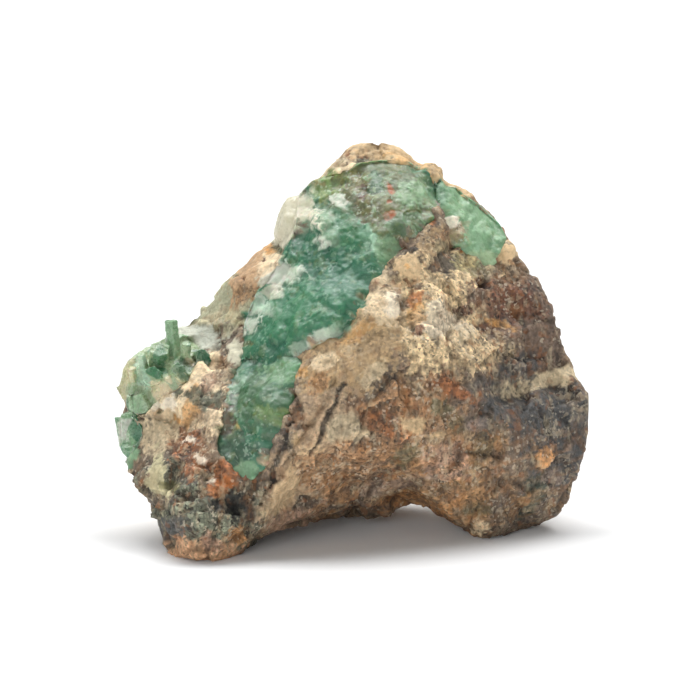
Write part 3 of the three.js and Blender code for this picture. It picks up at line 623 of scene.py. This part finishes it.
def finish_piece(piece, tone, lift, relief_shading):
    """Lifts every vertex along its normal by lift mm, darkens the hollows with painted shade and
    lightens the ridges with painted light, by the given strength, keeps it inside the stone's box in metres,
    and stores the mineral mix."""
    mesh = piece.data
    lifted = read(mesh, "vertices", "co", 3) + read(mesh, "vertex_normals", "vector", 3) * lift[:, None]
    place_vertices(mesh, lifted)
    co = read(mesh, "vertices", "co", 3)
    # How far each point stands above the surface without its chips, in mm.
    height = ((co - smoothed(mesh, co, 8)) * read(mesh, "vertex_normals", "vector", 3)).sum(axis=1)
    relief_shading = relief_shading * np.clip(0.2 + tone[:, 3], 0, 1)  # smooth minerals get less of this painted shade and light
    # Painted shade in the hollows and painted light on the ridges: the colour follows the height.
    tone[:, :3] *= np.clip(1 + relief_shading * height, 0.45, 1.35)[:, None]
    place_vertices(mesh, np.clip(co / 1000, np.array(cad_box[0]) + 1e-5, np.array(cad_box[1]) - 1e-5))
    colours = np.clip(tone[:, :4], 0, 2).astype(np.float32)
    mesh.attributes.new("tone", "FLOAT_COLOR", "POINT").data.foreach_set("color", colours.ravel())


# What the minerals are made of, in mm. The real grains are 0.1 to 0.6 mm, and those below about
# 0.25 mm are too fine to show, so the small ones are drawn as coarse as they need to be.
SMALL_GRAIN, BIG_GRAIN = 0.28, 0.6
CLOUD = 1.7  # paler and darker areas
STREAK = 0.5  # across the cleavage, and about six times as long along it
STREAK_STRETCH = (1, 1, 0.16)
SWARM = 2.6  # areas with more of one kind of foreign grain
CLEAVAGE = (0.3, 0.35, 0)  # how it leans, in radians
BEND = 0.7  # the borders of the grains bend over this size
BEND_BY = (0.0002, 0.0002, 0.0002)  # metres, and by this much
DEEP_PITS, GRAIN_PITS = 0.0006, 0.00012  # metres, the relief that is finer than the mesh


def mineral_material(name, *, gloss, speckle, streaks, grains, tints, stretch, cracks, bump, body):
    """Crystal grains in the mixed colours that the mesh carries. gloss is the roughness, and
    speckle and streaks are how strongly grains and cleavage show. grains are foreign grains:
    colour, size, where they start from 0 to 1, and strength; some near-white ones are partly
    painted glints. tints are stains: colour, size in mm, where they start and end, and
    strength, drawn out along the cleavage by 1 / stretch. cracks are healed cracks: colour,
    distance in mm, and strength. body has the sockets of the shader that are the same all over."""
    material = bpy.data.materials.new(name)
    material.use_nodes = True
    tree = material.node_tree
    tree.nodes.clear()
    place = add(tree, "ShaderNodeTexCoord").outputs["Object"]
    tone = add(tree, "ShaderNodeAttribute", attribute_name="tone")
    coarse = tone.outputs["Alpha"]
    wander = add(tree, "ShaderNodeTexNoise", {"Vector": place, "Scale": 1000 / BEND, "Detail": 3})
    at = add(
        tree,
        "ShaderNodeVectorMath",
        {0: wander.outputs["Color"], 1: BEND_BY, 2: place},
        operation="MULTIPLY_ADD",
    ).outputs[0]
    cells = {
        size: add(tree, "ShaderNodeTexVoronoi", {"Vector": at, "Scale": 1000 / size})
        for size in (BIG_GRAIN, SMALL_GRAIN)
    }
    shades = {
        size: add(tree, "ShaderNodeSeparateColor", {"Color": cell.outputs["Color"]})
        for size, cell in cells.items()
    }
    cloud = add(
        tree,
        "ShaderNodeTexNoise",
        {"Vector": place, "Scale": 1000 / CLOUD, "Detail": 8, "Roughness": 0.75},
    )
    along = add(
        tree, "ShaderNodeMapping", {"Vector": at, "Rotation": CLEAVAGE, "Scale": STREAK_STRETCH}
    )
    streak = add(
        tree, "ShaderNodeTexNoise", {"Vector": along.outputs[0], "Scale": 1000 / STREAK, "Detail": 3}
    )

    def laid_over(colour, code, share):
        share = add(tree, "ShaderNodeMath", {0: share, 1: coarse}, operation="MULTIPLY", use_clamp=True)
        mixed = add(
            tree,
            "ShaderNodeMix",
            {0: share.outputs[0], 6: colour, 7: (*linear(code), 1)},
            data_type="RGBA",
        )
        return mixed.outputs[2]

    # Light and dark grains, and streaks along the cleavage.
    total = -(0.3 + 0.6 + 1.2) * speckle - streaks
    for source, amount in (
        (shades[BIG_GRAIN].outputs[0], 0.6 * speckle),
        (shades[SMALL_GRAIN].outputs[0], 1.2 * speckle),
        (cloud.outputs["Fac"], 2.4 * speckle),
        (streak.outputs["Fac"], 2 * streaks),
    ):
        total = add(
            tree, "ShaderNodeMath", {0: source, 1: amount, 2: total}, operation="MULTIPLY_ADD"
        ).outputs[0]
    factor = add(tree, "ShaderNodeMath", {0: total, 1: coarse, 2: 1.0}, operation="MULTIPLY_ADD")
    factor = add(tree, "ShaderNodeMath", {0: factor.outputs[0], 1: 0.25}, operation="MAXIMUM")
    colour = add(
        tree,
        "ShaderNodeVectorMath",
        {0: tone.outputs["Color"], "Scale": factor.outputs[0]},
        operation="SCALE",
    ).outputs[0]

    # Clouds of stain, then foreign grains, then healed cracks.
    for i, (code, size, low, high, amount) in enumerate(tints):
        moved = add(
            tree,
            "ShaderNodeMapping",
            {
                "Vector": at,
                "Location": (0.03 * i, 0.05, 0.02),
                "Rotation": CLEAVAGE,
                "Scale": (1, 1, stretch),
            },
        )
        patch = add(
            tree,
            "ShaderNodeTexNoise",
            {"Vector": moved.outputs[0], "Scale": 1000 / size, "Detail": 5, "Roughness": 0.6},
        )
        where = add(
            tree,
            "ShaderNodeMapRange",
            {"Value": patch.outputs["Fac"], "From Min": low, "From Max": high, "To Max": amount},
        )
        colour = laid_over(colour, code, where.outputs[0])
    swarm = add(tree, "ShaderNodeTexNoise", {"Vector": place, "Scale": 1000 / SWARM, "Detail": 2})
    swarms = add(tree, "ShaderNodeSeparateColor", {"Color": swarm.outputs["Color"]})
    for i, (code, size, low, amount) in enumerate(grains):
        chance = add(
            tree,
            "ShaderNodeMath",
            {0: swarms.outputs[i % 3], 1: 1.0, 2: shades[size].outputs[1 + i % 2]},
            operation="MULTIPLY_ADD",
        )
        where = add(
            tree,
            "ShaderNodeMapRange",
            {"Value": chance.outputs[0], "From Min": low + 0.5, "From Max": low + 0.55, "To Max": amount},
        )
        colour = laid_over(colour, code, where.outputs[0])
    if cracks:
        code, size, amount = cracks
        edge = add(
            tree, "ShaderNodeTexVoronoi", {"Vector": at, "Scale": 1000 / size}, feature="DISTANCE_TO_EDGE"
        )
        line = add(
            tree,
            "ShaderNodeMapRange",
            {"Value": edge.outputs["Distance"], "From Max": 0.06, "To Min": amount, "To Max": 0.0},
        )
        colour = laid_over(colour, code, line.outputs[0])

    # Every grain has its own gloss, and stands a little above its borders.
    dull = add(
        tree,
        "ShaderNodeMapRange",
        {"Value": shades[SMALL_GRAIN].outputs[1], "To Min": gloss - 0.18, "To Max": gloss + 0.15},
    )
    relief = add(
        tree, "ShaderNodeBump", {"Strength": bump, "Distance": DEEP_PITS, "Height": cloud.outputs["Fac"]}
    )
    relief = add(
        tree,
        "ShaderNodeBump",
        {
            "Strength": bump,
            "Distance": GRAIN_PITS,
            "Height": cells[BIG_GRAIN].outputs["Distance"],
            "Normal": relief.outputs[0],
        },
        invert=True,
    )
    surface = add(
        tree,
        "ShaderNodeBsdfPrincipled",
        {"Base Color": colour, "Roughness": dull.outputs[0], "Normal": relief.outputs[0], **body},
    )
    add(tree, "ShaderNodeOutputMaterial", {"Surface": surface.outputs[0]})
    return material


# Flakes broken off the rock, each an amount and a size in mm, and the crumbly skin between.
FLAKES = ((0.75, 4.3), (0.2, 1.9), (0.08, 0.9))
CRUMBS = (0.08, 1.3)
LAP = (0.4, 0.9, 2.4)  # mm: how far the rock laps over the vein, how much that varies, over what

rock = fine_mesh("broken_host_rock", "host_rock", voxel=0.285)
rock_co = smoothed(rock.data, read(rock.data, "vertices", "co", 3), rounds=9)
place_vertices(rock.data, rock_co)
rock_side = -np.array([beryl_tree.find_nearest(Vector(p))[3] for p in rock_co])
rock_tone = minerals_at(rock_co, rock_side)
rock_lift = np.array(
    [
        sum(amount * chips(p, size) for amount, size in FLAKES)
        + CRUMBS[0] * noise.fractal(p / CRUMBS[1], 0.9, 2.0, 4)
        for p in map(Vector, rock_co)
    ]
)
rock_lift = rock_lift * (0.25 + 0.8 * rock_tone[:, 3]) - rock_tone[:, 4] - 0.1
# It laps over the edge of the green vein by more here and less there.
lap = np.array([LAP[0] + LAP[1] * noise.fractal(p / LAP[2], 1.0, 2.0, 3) for p in map(Vector, rock_co)])
rock_lift += lap * np.exp(rock_side / 0.9)
# The rock gets strong painted shade in its hollows and painted light on its ridges.
finish_piece(rock, rock_tone, rock_lift, relief_shading=2.6)
# A rough break without polish: earthy and dull, with white feldspar and black mica grains side
# by side, single glints, and rust and dark streaks along the cleavage.
schist = mineral_material(
    "mica schist and feldspar, broken",
    gloss=0.7,
    speckle=0.55,
    streaks=0.75,
    grains=(
        # The first, near-white small grains are partly white feldspar and partly painted glints.
        ("eadcc2", SMALL_GRAIN, 0.92, 0.4),
        ("2b2520", SMALL_GRAIN, 0.85, 0.6),
        ("a5673a", BIG_GRAIN, 0.93, 0.4),
        ("d8c19c", BIG_GRAIN, 0.95, 0.3),
    ),
    tints=(
        ("94602f", 1.5, 0.52, 0.68, 0.55),
        ("454039", 1.2, 0.52, 0.66, 0.55),
        ("d9c8a4", 0.9, 0.54, 0.7, 0.5),
    ),
    stretch=0.35,
    cracks=("4a3a2c", 2.6, 0.35),
    bump=0.7,
    body={"IOR": 1.54},
)
rock.data.materials.append(schist)
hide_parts("host_rock")
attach(rock, "root")


# The green vein
# Granular beryl, grown in a crack of the rock: thousands of small emerald grains packed tight,
# deep green where it is thick and mint where it is thin. The rock holds it on all sides.
SEAM = 0.45  # the solids stand this far apart in mm, and the grown minerals don't
ROOT = 0.4  # how far the grown mineral then reaches into the rock, in mm


def grown_piece(name, node, *, voxel, rounds, facets, lumps, mineral=None):
    """A mass that grew in the rock: its solid, rounded, spread sideways over the seam into the
    rock, and roughened by flat facets and round lumps, each an amount and a size in mm."""
    piece = fine_mesh(name, node, voxel)
    co = smoothed(piece.data, read(piece.data, "vertices", "co", 3), rounds)
    hits = [rock_tree.find_nearest(Vector(p)) for p in co]
    side = np.array([hit[3] for hit in hits])
    tone = np.tile(row(mineral), (len(co), 1)) if mineral else minerals_at(co, side)
    spread = np.clip(2 - side / (1.2 * SEAM), 0, 1)
    to_rock = (np.array([hit[0] for hit in hits]) - co) / side[:, None]
    co += to_rock * ((side + ROOT) * spread)[:, None]
    place_vertices(piece.data, co)
    lift = np.array(
        [
            facets[0] * chips(p, facets[1]) + lumps[0] * noise.fractal(p / lumps[1], 1.1, 2.1, 4)
            for p in map(Vector, co)
        ]
    )
    # Grown pieces get weaker painted shade in their hollows and painted light on their ridges.
    finish_piece(piece, tone, (lift - tone[:, 4]) * (1 - 0.7 * spread), relief_shading=1.3)
    return piece


vein = grown_piece(
    "green_vein", "emerald_vein", voxel=0.16, rounds=14, facets=(0.08, 2.6), lumps=(0.24, 1.7)
)
# Broken through its grains: a soft glassy shine, white and dark clouds, and light that goes in
# and comes out again green, so that its shadows stay soft.
emerald = mineral_material(
    "granular emerald, cloudy",
    gloss=0.45,
    speckle=0.5,
    streaks=0.12,
    grains=(
        # The first, near-white small grains are partly whitish grains of the beryl and partly painted glints.
        ("d5e6d2", SMALL_GRAIN, 0.93, 0.6),
        ("1f5a44", SMALL_GRAIN, 0.9, 0.45),
        ("9cc29a", BIG_GRAIN, 0.88, 0.45),
        ("8b8a50", BIG_GRAIN, 0.93, 0.5),
    ),
    tints=(
        ("a9c8ab", 1.9, 0.52, 0.72, 0.4),
        ("275f49", 2.6, 0.52, 0.7, 0.6),
        ("8a8f58", 1.9, 0.55, 0.7, 0.7),
    ),
    stretch=0.8,
    cracks=("b5d2b8", 2.9, 0.12),
    bump=0.25,
    body={
        "IOR": 1.58,
        "Subsurface Weight": 0.8,
        "Subsurface Radius": (0.5, 1.0, 0.7),
        "Subsurface Scale": 0.001,
    },
)
vein.data.materials.append(emerald)
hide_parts("emerald_vein")
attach(vein, "root")


# The green band on the crest
# The same beryl vein where it crops out again beyond the crest, paler and finer in grain.
# It makes the edge of the stone there.
crest = grown_piece(
    "crest_band", "emerald_crest", voxel=0.16, rounds=12, facets=(0.08, 2.2), lumps=(0.22, 1.5)
)
# As the vein, with more white grains between the green ones, so that it looks chalky.
pale_emerald = mineral_material(
    "pale granular beryl, cloudy",
    gloss=0.45,
    speckle=0.5,
    streaks=0.35,
    grains=(
        # The first, near-white small grains are partly whitish grains of the beryl and partly painted glints.
        ("d5e6d2", SMALL_GRAIN, 0.92, 0.6),
        ("2f6a50", SMALL_GRAIN, 0.9, 0.45),
        ("b5cfaa", BIG_GRAIN, 0.86, 0.5),
        ("9a9a60", BIG_GRAIN, 0.93, 0.5),
    ),
    tints=(
        ("b8d2bd", 1.6, 0.56, 0.7, 0.7),
        ("5c9470", 2.2, 0.56, 0.68, 0.7),
        ("9a9a60", 1.3, 0.62, 0.7, 0.6),
    ),
    stretch=0.8,
    cracks=("c2d8bc", 2.4, 0.12),
    bump=0.25,
    body={
        "IOR": 1.58,
        "Subsurface Weight": 0.4,
        "Subsurface Radius": (0.6, 1.0, 0.8),
        "Subsurface Scale": 0.0007,
    },
)
crest.data.materials.append(pale_emerald)
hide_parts("emerald_crest")
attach(crest, "root")


# The crystals of the left shoulder
# Small six-sided beryl prisms with flat ends, which grew freely on a crust of the same mineral.
# They are the clearest green of the stone.
crystals = grown_piece(
    "shoulder_crystals", "emerald_crystals", voxel=0.08, rounds=1, facets=(0.08, 1.5), lumps=(0.06, 0.6)
)
# Grown faces, smoother and glossier than a break. Light goes a little way through the edges.
clear_emerald = mineral_material(
    "beryl crystal, clear green",
    gloss=0.3,
    speckle=0.3,
    streaks=0.3,
    grains=(("e2ecd8", SMALL_GRAIN, 0.93, 0.5), ("2f6a50", BIG_GRAIN, 0.92, 0.3)),
    tints=(("dde2c6", 1.6, 0.52, 0.68, 0.9), ("3d7a5e", 1.8, 0.56, 0.68, 0.7)),
    stretch=0.6,
    cracks=("dfe8d0", 1.6, 0.3),
    bump=0.25,
    body={
        "IOR": 1.58,
        "Transmission Weight": 0.18,
        "Subsurface Weight": 0.4,
        "Subsurface Radius": (0.6, 1.0, 0.8),
        "Subsurface Scale": 0.0007,
    },
)
crystals.data.materials.append(clear_emerald)
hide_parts("emerald_crystals")
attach(crystals, "root")


# The crystals on the left edge
# Two stout beryl prisms side by side and a short one below, which grew on the edge of the rock.
# They are of the same clear green as those of the shoulder.
edge_crystals = grown_piece(
    "edge_crystals", "emerald_edge_crystals", voxel=0.08, rounds=1, facets=(0.08, 1.5), lumps=(0.06, 0.6)
)
edge_crystals.data.materials.append(clear_emerald)
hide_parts("emerald_edge_crystals")
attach(edge_crystals, "root")


# The milky quartz
# One piece of quartz on the upper left edge, white from countless tiny bubbles, which filled
# the crack beside the vein and broke off smooth.
wedge = grown_piece(
    "milky_quartz",
    "quartz_wedge",
    voxel=0.14,
    rounds=12,
    facets=(0.04, 2.2),
    lumps=(0.05, 1.4),
    mineral="milky_cream",
)
# A smooth break with a greasy shine. Light scatters inside, so that it looks like wax.
quartz = mineral_material(
    "milky quartz, smooth",
    gloss=0.35,
    speckle=0.25,
    streaks=0.1,
    grains=(("efe9d8", SMALL_GRAIN, 0.93, 0.4),),
    tints=(("c3cba0", 3.0, 0.5, 0.65, 1.0),),
    stretch=0.8,
    cracks=None,
    bump=0.2,
    body={
        "IOR": 1.54,
        "Subsurface Weight": 0.5,
        "Subsurface Radius": (1.0, 0.9, 0.8),
        "Subsurface Scale": 0.0008,
    },
)
wedge.data.materials.append(quartz)
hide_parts("quartz_wedge")
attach(wedge, "root")
